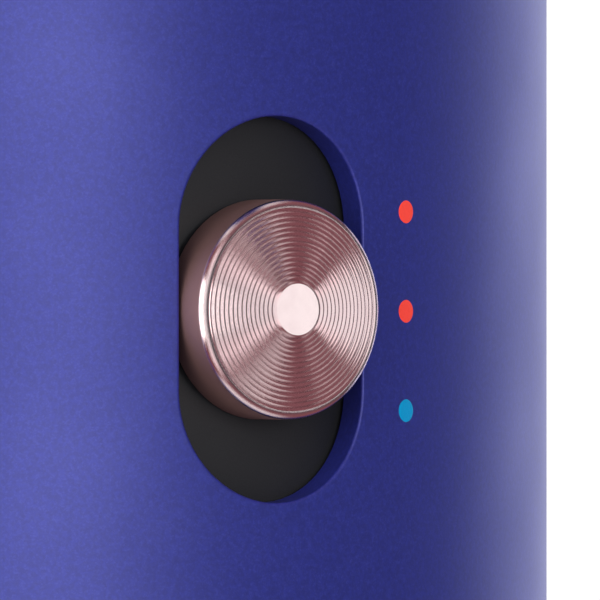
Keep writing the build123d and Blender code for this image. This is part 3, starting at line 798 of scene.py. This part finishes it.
def filter_cup():
    """The filter's cup, pierced by rings of round holes in its face and a row of vents round its side."""
    work = Pattern("perforations", Radius=HOLE_R, Pitch=HOLE_RING_PITCH, Rings=HOLE_RINGS, Vents=VENT_COUNT)
    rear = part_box("filter_cage")[0].y
    rings, pitch = work.given["Rings"], work.given["Pitch"]
    index = work.add("GeometryNodeInputIndex").outputs[0]
    count = work.maths("MULTIPLY", work.maths("MULTIPLY", rings, 3.0), work.maths("ADD", rings, 1.0))

    # Ring k holds 6k holes, so a hole's number gives its ring, and then its place round it.
    square = work.maths("MULTIPLY", work.maths("ADD", index, 1.0), 4 / 3)
    root = work.maths("SQRT", work.maths("ADD", square, 1.0))
    ring = work.maths("CEIL", work.maths("SUBTRACT", work.maths("MULTIPLY", root, 0.5), 0.5001))
    first = work.maths("MULTIPLY", work.maths("MULTIPLY", ring, 3.0), work.maths("SUBTRACT", ring, 1.0))
    share = work.maths("DIVIDE", work.maths("SUBTRACT", index, first), work.maths("MULTIPLY", ring, 6.0))
    turn = work.maths("MULTIPLY", share, 2 * pi)
    reach = work.maths("MULTIPLY", ring, pitch)
    across = work.maths("MULTIPLY", reach, work.maths("COSINE", turn))
    up = work.maths("MULTIPLY", reach, work.maths("SINE", turn))
    place = work.xyz(across, rear, work.maths("ADD", up, BARREL_Z))
    points = work.add("GeometryNodePoints", {"Count": count, "Position": place}).outputs[0]
    drill = work.add("GeometryNodeMeshCylinder", {
        "Vertices": DRILL_SIDES, "Radius": work.given["Radius"], "Depth": DRILL_DEPTH})
    holes = work.add("GeometryNodeInstanceOnPoints", {
        "Points": points, "Instance": drill.outputs["Mesh"], "Rotation": (pi / 2, 0, 0)}).outputs[0]

    vent_turn = work.maths("MULTIPLY", work.maths("DIVIDE", index, work.given["Vents"]), 2 * pi)
    axle = work.add("GeometryNodePoints", {
        "Count": work.given["Vents"], "Position": (0, VENT_Y, BARREL_Z)})
    outline = work.add("GeometryNodeCurvePrimitiveQuadrilateral", {
        "Width": VENT_WIDTH, "Height": VENT_LENGTH}).outputs[0]
    soft = work.add("GeometryNodeFilletCurve", {
        "Curve": outline, "Radius": VENT_WIDTH / 2 - 0.01 * MM, "Count": 4}, mode="POLY")
    path = work.add("GeometryNodeCurvePrimitiveLine", {
        "Start": (0, 0, VENT_INNER_R), "End": (0, 0, VENT_OUTER_R)}).outputs[0]
    slot = work.add("GeometryNodeCurveToMesh", {
        "Curve": path, "Profile Curve": soft.outputs[0], "Fill Caps": True}).outputs[0]
    vents = work.add("GeometryNodeInstanceOnPoints", {
        "Points": axle.outputs[0], "Instance": slot, "Rotation": work.xyz(0.0, vent_turn, 0.0)}).outputs[0]
    cutters = work.add("GeometryNodeJoinGeometry")
    work.join(holes, cutters.inputs[0])
    work.join(vents, cutters.inputs[0])
    solid = work.add("GeometryNodeRealizeInstances", {0: cutters.outputs[0]}).outputs[0]
    cut = work.add("GeometryNodeMeshBoolean", {0: work.given["Geometry"]}, operation="DIFFERENCE")
    work.join(solid, cut.inputs[1])
    verts, faces = cage_blank()
    blank = bpy.data.meshes.new("cage_blank")
    blank.from_pydata(verts, [], faces)
    settle(blank)
    plastic = moulded_black("cup_plastic", grain=0.12 * MM, roughness=0.5)
    mesh = work.bake(cut.outputs[0], blank, plastic)
    finish_mesh("filter_cup", mesh, plastic, "filter", ["filter_cage"])


def filter_weave():
    """Plain woven steel wire cloth, cut to a disc, with each wire passing over one and under the next."""
    low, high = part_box("filter_mesh")
    half = (high.x - low.x) / 2
    work = Pattern("weave", Radius=half, Pitch=WEAVE_PITCH, Wire=WEAVE_WIRE_R,
                   Count=2 * int(half / WEAVE_PITCH) + 1)
    count = work.given["Count"]
    gaps = work.maths("SUBTRACT", count, 1.0)
    reach = work.maths("MULTIPLY", work.given["Pitch"], work.maths("MULTIPLY", gaps, 0.5))
    back = work.maths("MULTIPLY", reach, -1.0)
    line = work.add("GeometryNodeCurvePrimitiveLine", {
        "Start": work.xyz(0.0, back, 0.0), "End": work.xyz(0.0, reach, 0.0)}).outputs[0]
    wire = work.add("GeometryNodeResampleCurve", {"Curve": line, "Count": count}).outputs[0]
    row = work.add("GeometryNodeMeshLine", {
        "Count": count, "Start Location": work.xyz(back), "Offset": work.xyz(work.given["Pitch"])}).outputs[0]
    wires = work.add("GeometryNodeInstanceOnPoints", {"Points": row, "Instance": wire}).outputs[0]
    wires = work.add("GeometryNodeRealizeInstances", {0: wires}).outputs[0]
    place = work.add("ShaderNodeSeparateXYZ", {0: work.add("GeometryNodeInputPosition").outputs[0]}).outputs
    steps = [work.maths("DIVIDE", place[i], work.given["Pitch"]) for i in (0, 1)]
    waves = [work.maths("COSINE", work.maths("MULTIPLY", step, pi)) for step in steps]
    lift = work.maths("MULTIPLY", work.maths("MULTIPLY", *waves), work.given["Wire"])
    wires = work.add("GeometryNodeSetPosition", {
        "Geometry": wires, "Offset": work.xyz(0.0, 0.0, lift)}).outputs[0]
    squares = [work.maths("MULTIPLY", place[i], place[i]) for i in (0, 1)]
    away = work.maths("SQRT", work.maths("ADD", *squares))
    limit = work.maths("SUBTRACT", work.given["Radius"], work.given["Wire"])
    wires = work.add("GeometryNodeDeleteGeometry", {
        "Geometry": wires, "Selection": work.maths("GREATER_THAN", away, limit)}).outputs[0]
    section = work.add("GeometryNodeCurvePrimitiveCircle", {
        "Resolution": 6, "Radius": work.given["Wire"]}).outputs[0]
    cloth = work.add("GeometryNodeCurveToMesh", {
        "Curve": wires, "Profile Curve": section, "Fill Caps": True}).outputs[0]
    across = work.add("GeometryNodeTransform", {"Geometry": cloth, "Rotation": (pi, 0, pi / 2)}).outputs[0]
    both = work.add("GeometryNodeJoinGeometry")
    work.join(cloth, both.inputs[0])
    work.join(across, both.inputs[0])
    stood = work.add("GeometryNodeTransform", {
        "Geometry": both.outputs[0], "Rotation": (pi / 2, 0, 0),
        "Translation": (0, (low.y + high.y) / 2, BARREL_Z)}).outputs[0]
    steel = plain_metal("weave_steel", (0.46, 0.46, 0.48), 0.38)
    mesh = work.bake(stood, bpy.data.meshes.new("weave_blank"), steel)
    finish_mesh("filter_weave", mesh, steel, "filter", ["filter_mesh"], sharp=80)


# ---- Heater -------------------------------------------------------------------------------------
WINDING_R = 19.0 * MM
WINDING_TURNS = 9
WINDING_FRONT = 33.5 * MM
WINDING_PITCH = 4.3 * MM
COIL_R = 0.56 * MM
COIL_PITCH = 0.85 * MM
COIL_POINTS = 11000
HEAT_WIRE_R = 0.13 * MM


def heater_winding():
    """Resistance wire coiled as a fine spring, and the spring wound round the heater's boards."""
    work = Pattern("coiled_wire", Radius=WINDING_R, Turns=float(WINDING_TURNS), Coil=COIL_R,
                   Pitch=COIL_PITCH, Wire=HEAT_WIRE_R, Points=COIL_POINTS)
    height = WINDING_TURNS * WINDING_PITCH
    spiral = work.add("GeometryNodeCurveSpiral", {
        "Resolution": 96, "Rotations": work.given["Turns"], "Start Radius": work.given["Radius"],
        "End Radius": work.given["Radius"], "Height": height}).outputs[0]
    path = work.add("GeometryNodeResampleCurve", {
        "Curve": spiral, "Count": work.given["Points"]}).outputs[0]
    along = work.add("GeometryNodeSplineParameter").outputs["Length"]
    turn = work.maths("MULTIPLY", work.maths("DIVIDE", along, work.given["Pitch"]), 2 * pi)
    normal = work.add("GeometryNodeInputNormal").outputs[0]
    tangent = work.add("GeometryNodeInputTangent").outputs[0]
    side = work.vectors("CROSS_PRODUCT", {0: tangent, 1: normal})
    out = work.vectors("SCALE", {0: normal, "Scale": work.maths("COSINE", turn)})
    over = work.vectors("SCALE", {0: side, "Scale": work.maths("SINE", turn)})
    ring = work.vectors("ADD", {0: out, 1: over})
    shift = work.vectors("SCALE", {0: ring, "Scale": work.given["Coil"]})
    path = work.add("GeometryNodeSetPosition", {"Geometry": path, "Offset": shift}).outputs[0]
    section = work.add("GeometryNodeCurvePrimitiveCircle", {
        "Resolution": 5, "Radius": work.given["Wire"]}).outputs[0]
    wire = work.add("GeometryNodeCurveToMesh", {
        "Curve": path, "Profile Curve": section, "Fill Caps": True}).outputs[0]
    stood = work.add("GeometryNodeTransform", {
        "Geometry": wire, "Rotation": (-pi / 2, 0, 0),
        "Translation": (0, WINDING_FRONT - height, BARREL_Z)}).outputs[0]
    metal = plain_metal("resistance_wire", (0.33, 0.27, 0.23), 0.45)
    mesh = work.bake(stood, bpy.data.meshes.new("wire_blank"), metal)
    finish_mesh("heater_winding", mesh, metal, "barrel", ["heater_coil"], sharp=80)


# ---- Finishes of the CAD pieces that stay -------------------------------------------------------
def finish_cad_pieces():
    """Gives each node that stays a finish of its own kind."""
    barrel = (0, 0, BARREL_Z)
    finishes = {
        "indigo_painted_aluminium": HANDLE_PAINT,
        "indigo_plastic": satin_indigo("shell_paint", grain=1.4),
        "rose_aluminium": turned_rose("ring_metal", barrel, axis=1, pitch=BIG_RING_LATHE_PITCH),
        "black_plastic": moulded_black("black_moulding", grain=0.12 * MM),
        "grey_plastic": moulded("chassis_grey", (0.16, 0.16, 0.17)),
        "black_rubber": soft_rubber("gland_rubber"),
        "zinc_steel": plain_metal("zinc_plate", (0.62, 0.63, 0.65), 0.3),
        "board_green": solder_resist("board_lacquer"),
        "component_black": moulded("component_case", (0.022, 0.022, 0.025), 0.35),
        "lever_white": moulded("white_acetal", (0.74, 0.74, 0.71)),
        "wire_sheath": soft_rubber("sleeving", (0.035, 0.035, 0.038)),
        "nylon_cream": moulded("filled_nylon", (0.62, 0.59, 0.50), 0.5),
        "magnet_ferrite": sintered("ferrite", (0.045, 0.045, 0.05), (0.09, 0.09, 0.095)),
        "magnet_nickel": plain_metal("nickel_plate", (0.72, 0.70, 0.66), 0.16),
        "rotor_copper": plain_metal("copper_winding", (0.62, 0.27, 0.12), 0.34, stretch=(1, 8, 1)),
        "brush_carbon": sintered("brush_carbon", (0.03, 0.03, 0.032), (0.08, 0.08, 0.085)),
        "mica": sintered("mica_sheet", (0.50, 0.42, 0.29), (0.70, 0.63, 0.48)),
        "heater_wire": plain_metal("oxidised_wire", (0.33, 0.27, 0.23), 0.45),
        "thermal_parts": plain_metal("bright_case", (0.60, 0.58, 0.54), 0.28),
        "filter_steel": plain_metal("filter_wire", (0.46, 0.46, 0.48), 0.38),
    }
    own = {
        "hinge_cap_left": turned_rose("left_cap_metal", PIVOT, axis=0, pitch=BIG_RING_LATHE_PITCH),
        "hinge_cap_right": turned_rose("right_cap_metal", PIVOT, axis=0, pitch=BIG_RING_LATHE_PITCH),
        "heat_carriage": moulded_black("heat_shutter", grain=0.05 * MM),
        "airflow_carriage": moulded_black("airflow_shutter", grain=0.05 * MM),
    }
    for row in frame["record"]["subparts"]:
        node = row["node"]
        for slot in nodes[node].material_slots:
            slot.material = own.get(node, finishes[row["material_slot"]])


# ---- Stage --------------------------------------------------------------------------------------
CAMERA_AZIMUTH = -35.6
CAMERA_DISTANCE = 0.653
CAMERA_ASIDE = 12.95 * MM
CAMERA_HEIGHT = HEAT_Z + 0.30 * MM

# The world's colour for matt surfaces, for the camera, and for gloss by how steeply it looks up or down.
DIFFUSE_SKY = (0.76, 0.77, 0.80)
SEEN_SKY = (1.05, 1.05, 1.05)
GLOSSY_SKY = [(0.01, (0.09, 0.085, 0.10)), (0.36, (0.10, 0.08, 0.09)), (0.52, (0.24, 0.10, 0.115)),
              (0.82, (0.24, 0.10, 0.115)), (0.90, (1.0, 0.97, 0.97))]

# Azimuth from the camera's, elevation, distance, width, height, radiance and colour of each light.
CARDS = {
    "front_card": (6, 0, 1.0, 0.70, 1.80, 1.03, (1.0, 0.98, 0.98)),
    "low_card": (31, 0, 0.9, 0.36, 0.50, 4.2, (1.0, 1.0, 1.0)),
    "left_card": (-32, 5, 0.9, 0.45, 0.9, 4.05, (1.0, 1.0, 0.91)),
    "rim_card": (-52, 0, 0.9, 1.1, 0.8, 3.0, (1.0, 0.97, 0.96)),
    "far_left_card": (-104, 0, 0.9, 0.36, 0.45, 2.0, (1.0, 0.75, 0.68)),
    "right_strip": (72, 0, 0.9, 0.20, 0.24, 1.38, (0.96, 1.0, 0.98)),
    "white_backdrop_right": (152.5, 0, 1.1, 1.0, 0.9, 1.6, (0.76, 0.78, 1.0)),
}
FLOOR_HALF = 2.0
FLOOR_GAP = 0.05 * MM


def towards(azimuth, elevation=0.0):
    """The way from the handle towards something at this azimuth, where 0 is the side with the sliders."""
    a, e = radians(azimuth), radians(elevation)
    return Vector((sin(a) * cos(e), -cos(a) * cos(e), sin(e)))


def camera():
    """A far camera with a long lens, level with the upper slider."""
    data = bpy.data.cameras.new("camera")
    data.lens = 1200
    data.sensor_width = 36
    data.clip_start = 0.01
    data.clip_end = 20
    thing = bpy.data.objects.new("camera", data)
    bpy.context.scene.collection.objects.link(thing)
    back = towards(CAMERA_AZIMUTH)
    right = Vector((0, 0, 1)).cross(back)
    thing.location = back * CAMERA_DISTANCE + right * CAMERA_ASIDE + Vector((0, 0, CAMERA_HEIGHT))
    thing.rotation_euler = back.to_track_quat("Z", "Y").to_euler()
    bpy.context.scene.camera = thing


def softbox(name, azimuth, elevation, distance, width, height, radiance, colour):
    """An area light that points at the handle from an azimuth counted from the camera's."""
    aim = Vector((0, 0, HEAT_Z))
    data = bpy.data.lights.new(name, "AREA")
    data.shape = "RECTANGLE"
    data.size = width
    data.size_y = height
    data.energy = radiance * pi * width * height
    thing = bpy.data.objects.new(name, data)
    bpy.context.scene.collection.objects.link(thing)
    way = towards(CAMERA_AZIMUTH + azimuth, elevation)
    thing.location = aim + way * distance
    thing.rotation_euler = way.to_track_quat("Z", "Y").to_euler()
    thing.visible_camera = False
    data.color = colour
    return thing


def lights():
    """The studio's cards, some of them kept off the floor or the caps, and two that light the caps alone."""
    cards = {name: softbox(name, *row) for name, row in CARDS.items()}
    caps = [bpy.data.objects[name] for name in ("heat_cap", "airflow_cap")]
    floor = bpy.data.objects["floor"]
    flag("floor_flagged", [cards[k] for k in ("front_card", "far_left_card", "white_backdrop_right")],
         [floor], "EXCLUDE")
    flag("caps_flagged", [cards[k] for k in ("low_card", "left_card")], [floor] + caps, "EXCLUDE")
    flag("caps_only", [cards[k] for k in ("rim_card", "right_strip")], caps, "INCLUDE")


def flag(name, cards, things, state):
    """Keeps the cards' light off these things, or on them alone."""
    group = bpy.data.collections.new(name)
    for thing in things:
        group.objects.link(thing)
    for row in group.collection_objects:
        row.light_linking.link_state = state
    for card in cards:
        card.light_linking.receiver_collection = group


def sky():
    """A world that looks white, and lights the object dimly with a rosy band for the turned metal."""
    world = bpy.data.worlds.new("studio")
    bpy.context.scene.world = world
    world.use_nodes = True
    background = world.node_tree.nodes["Background"]
    maker = NodeMaker(world.node_tree)
    path = maker.add("ShaderNodeLightPath").outputs
    direction = maker.add("ShaderNodeTexCoord").outputs["Object"]
    steepness = maker.maths("ABSOLUTE", maker.add("ShaderNodeSeparateXYZ", {0: direction}).outputs[2])
    ramp = maker.add("ShaderNodeValToRGB", {0: steepness})
    stops = ramp.color_ramp.elements
    for place, tone in GLOSSY_SKY:
        stops.new(place).color = (*tone, 1)
    stops.remove(stops[0])
    stops.remove(stops[-1])
    lit = {"Factor": path["Is Glossy Ray"], 6: (*DIFFUSE_SKY, 1), 7: ramp.outputs[0]}
    tone = maker.add("ShaderNodeMix", lit, data_type="RGBA").outputs[2]
    seen = {"Factor": path["Is Camera Ray"], 6: tone, 7: (*SEEN_SKY, 1)}
    tone = maker.add("ShaderNodeMix", seen, data_type="RGBA").outputs[2]
    maker.join(tone, background.inputs["Color"])


def backdrop():
    """A plain pale floor, just under the handle's foot."""
    mesh = bpy.data.meshes.new("floor")
    corners = [(-1, -1), (1, -1), (1, 1), (-1, 1)]
    mesh.from_pydata([(FLOOR_HALF * x, FLOOR_HALF * y, -FLOOR_GAP) for x, y in corners], [], [(0, 1, 2, 3)])
    floor = bpy.data.objects.new("floor", mesh)
    bpy.context.scene.collection.objects.link(floor)
    pale = Finish("floor_paper", (0.93, 0.93, 0.94), 0.8)
    pale.tint(pale.between(pale.noise(3 * MM), 0.3, 0.8, 0.0, 0.2), (0.88, 0.88, 0.89))
    pale.set("Emission Color", (1, 1, 1, 1))
    pale.set("Emission Strength", 0.26)
    mesh.materials.append(pale.material)
    floor.visible_glossy = False
    floor.visible_diffuse = False


camera()
finish_cad_pieces()
handle_sleeve()
slider_caps()
setting_marks()
trim_ring()
voltage_numbers()
nozzle()
filter_cup()
filter_weave()
heater_winding()
sky()
backdrop()
lights()
bpy.context.scene.view_settings.view_transform = "Standard"
